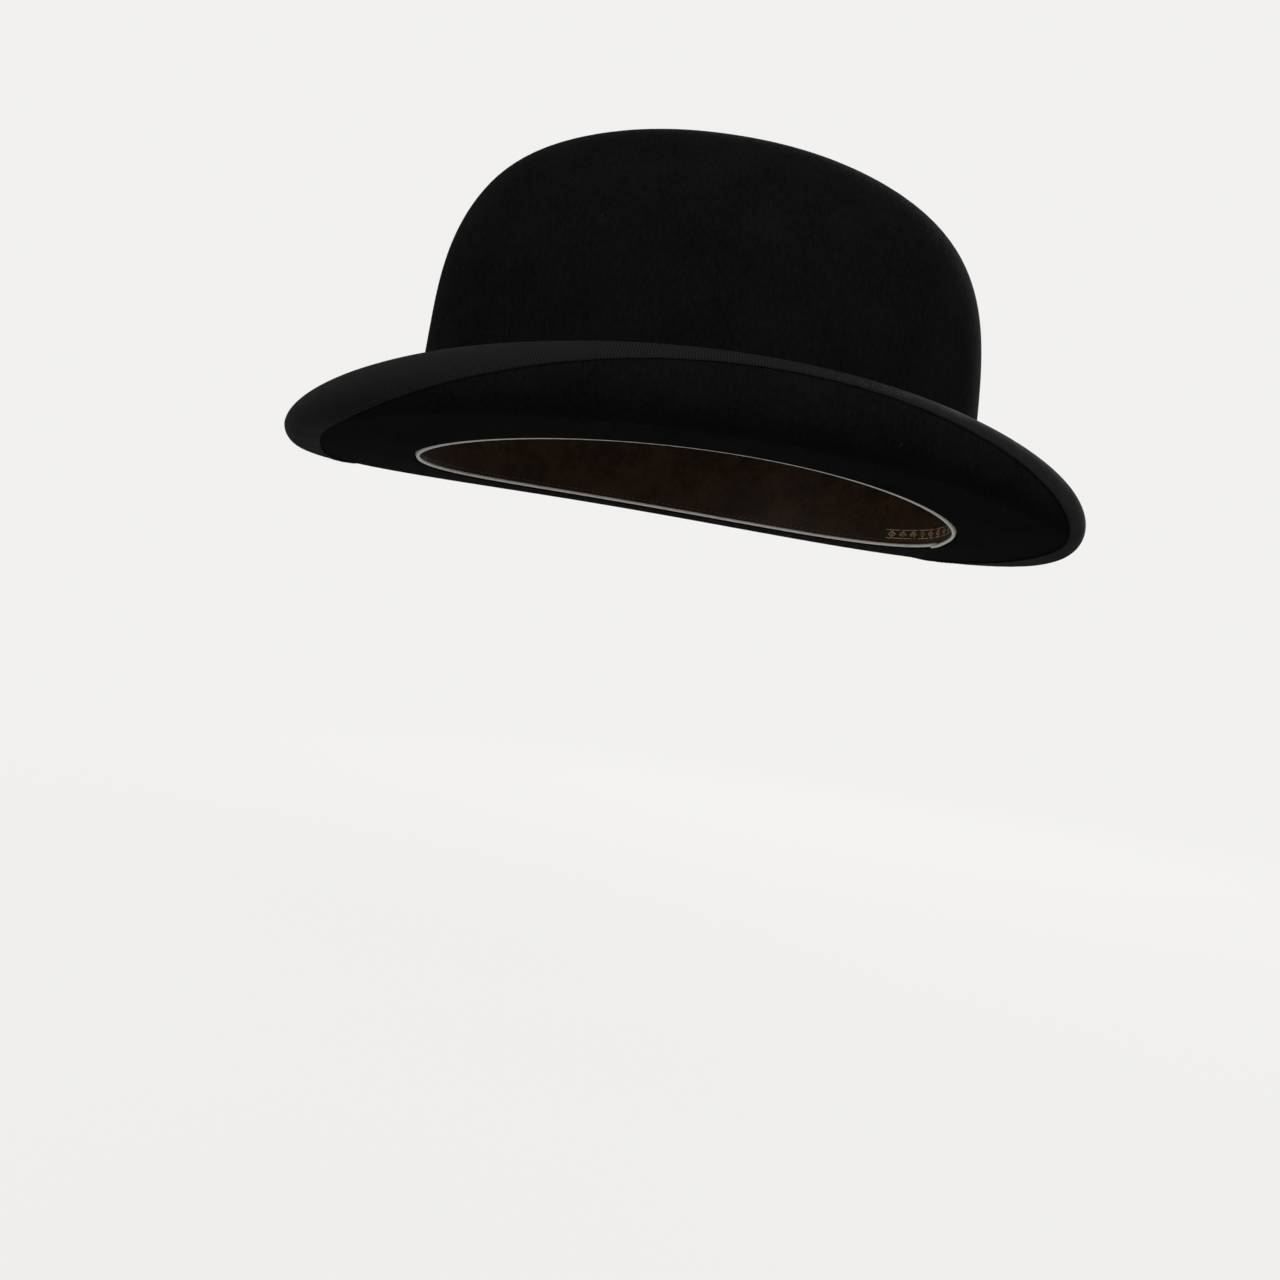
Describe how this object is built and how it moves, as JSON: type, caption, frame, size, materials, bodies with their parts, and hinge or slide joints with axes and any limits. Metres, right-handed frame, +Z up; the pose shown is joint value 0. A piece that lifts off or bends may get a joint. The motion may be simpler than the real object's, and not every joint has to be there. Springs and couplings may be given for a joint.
{
  "type": "bowler hat",
  "caption": "Bowler hat with a hard rounded felt crown, rolled brim bound in ribbon, ribbon band with a flat bow, leather sweatband with white reed piping and satin lining.",
  "frame": {"origin": "centre of the head opening, level with the underside of the brim at its front and back", "axes": "+X towards the wearer's left, -Y towards the front of the hat, +Z up through the crown"},
  "size_m": [0.2368, 0.2909, 0.1283],
  "materials": {
    "felt": "matt black fur felt with a short nap",
    "ribbon": "black grosgrain with a soft sheen",
    "thread": "black sewing thread",
    "leather": "dark brown mottled leather with a gilt border",
    "leather_thread": "brown sewing thread",
    "reed_tape": "white glazed cotton tape",
    "reed": "smooth",
    "satin": "ivory satin"
  },
  "bodies": {
    "root": {"felt_body": "felt", "brim_binding": "ribbon", "binding_thread": "thread", "hat_band": "ribbon", "bow_loops": "ribbon", "bow_tails": "ribbon", "bow_knot": "ribbon", "sweatband": "leather", "reed_core": "reed", "reed_cover": "reed_tape", "sweatband_thread": "leather_thread", "seam_thread": "leather_thread", "lining_side": "satin", "lining_tip": "satin"}
  },
  "joints": []
}
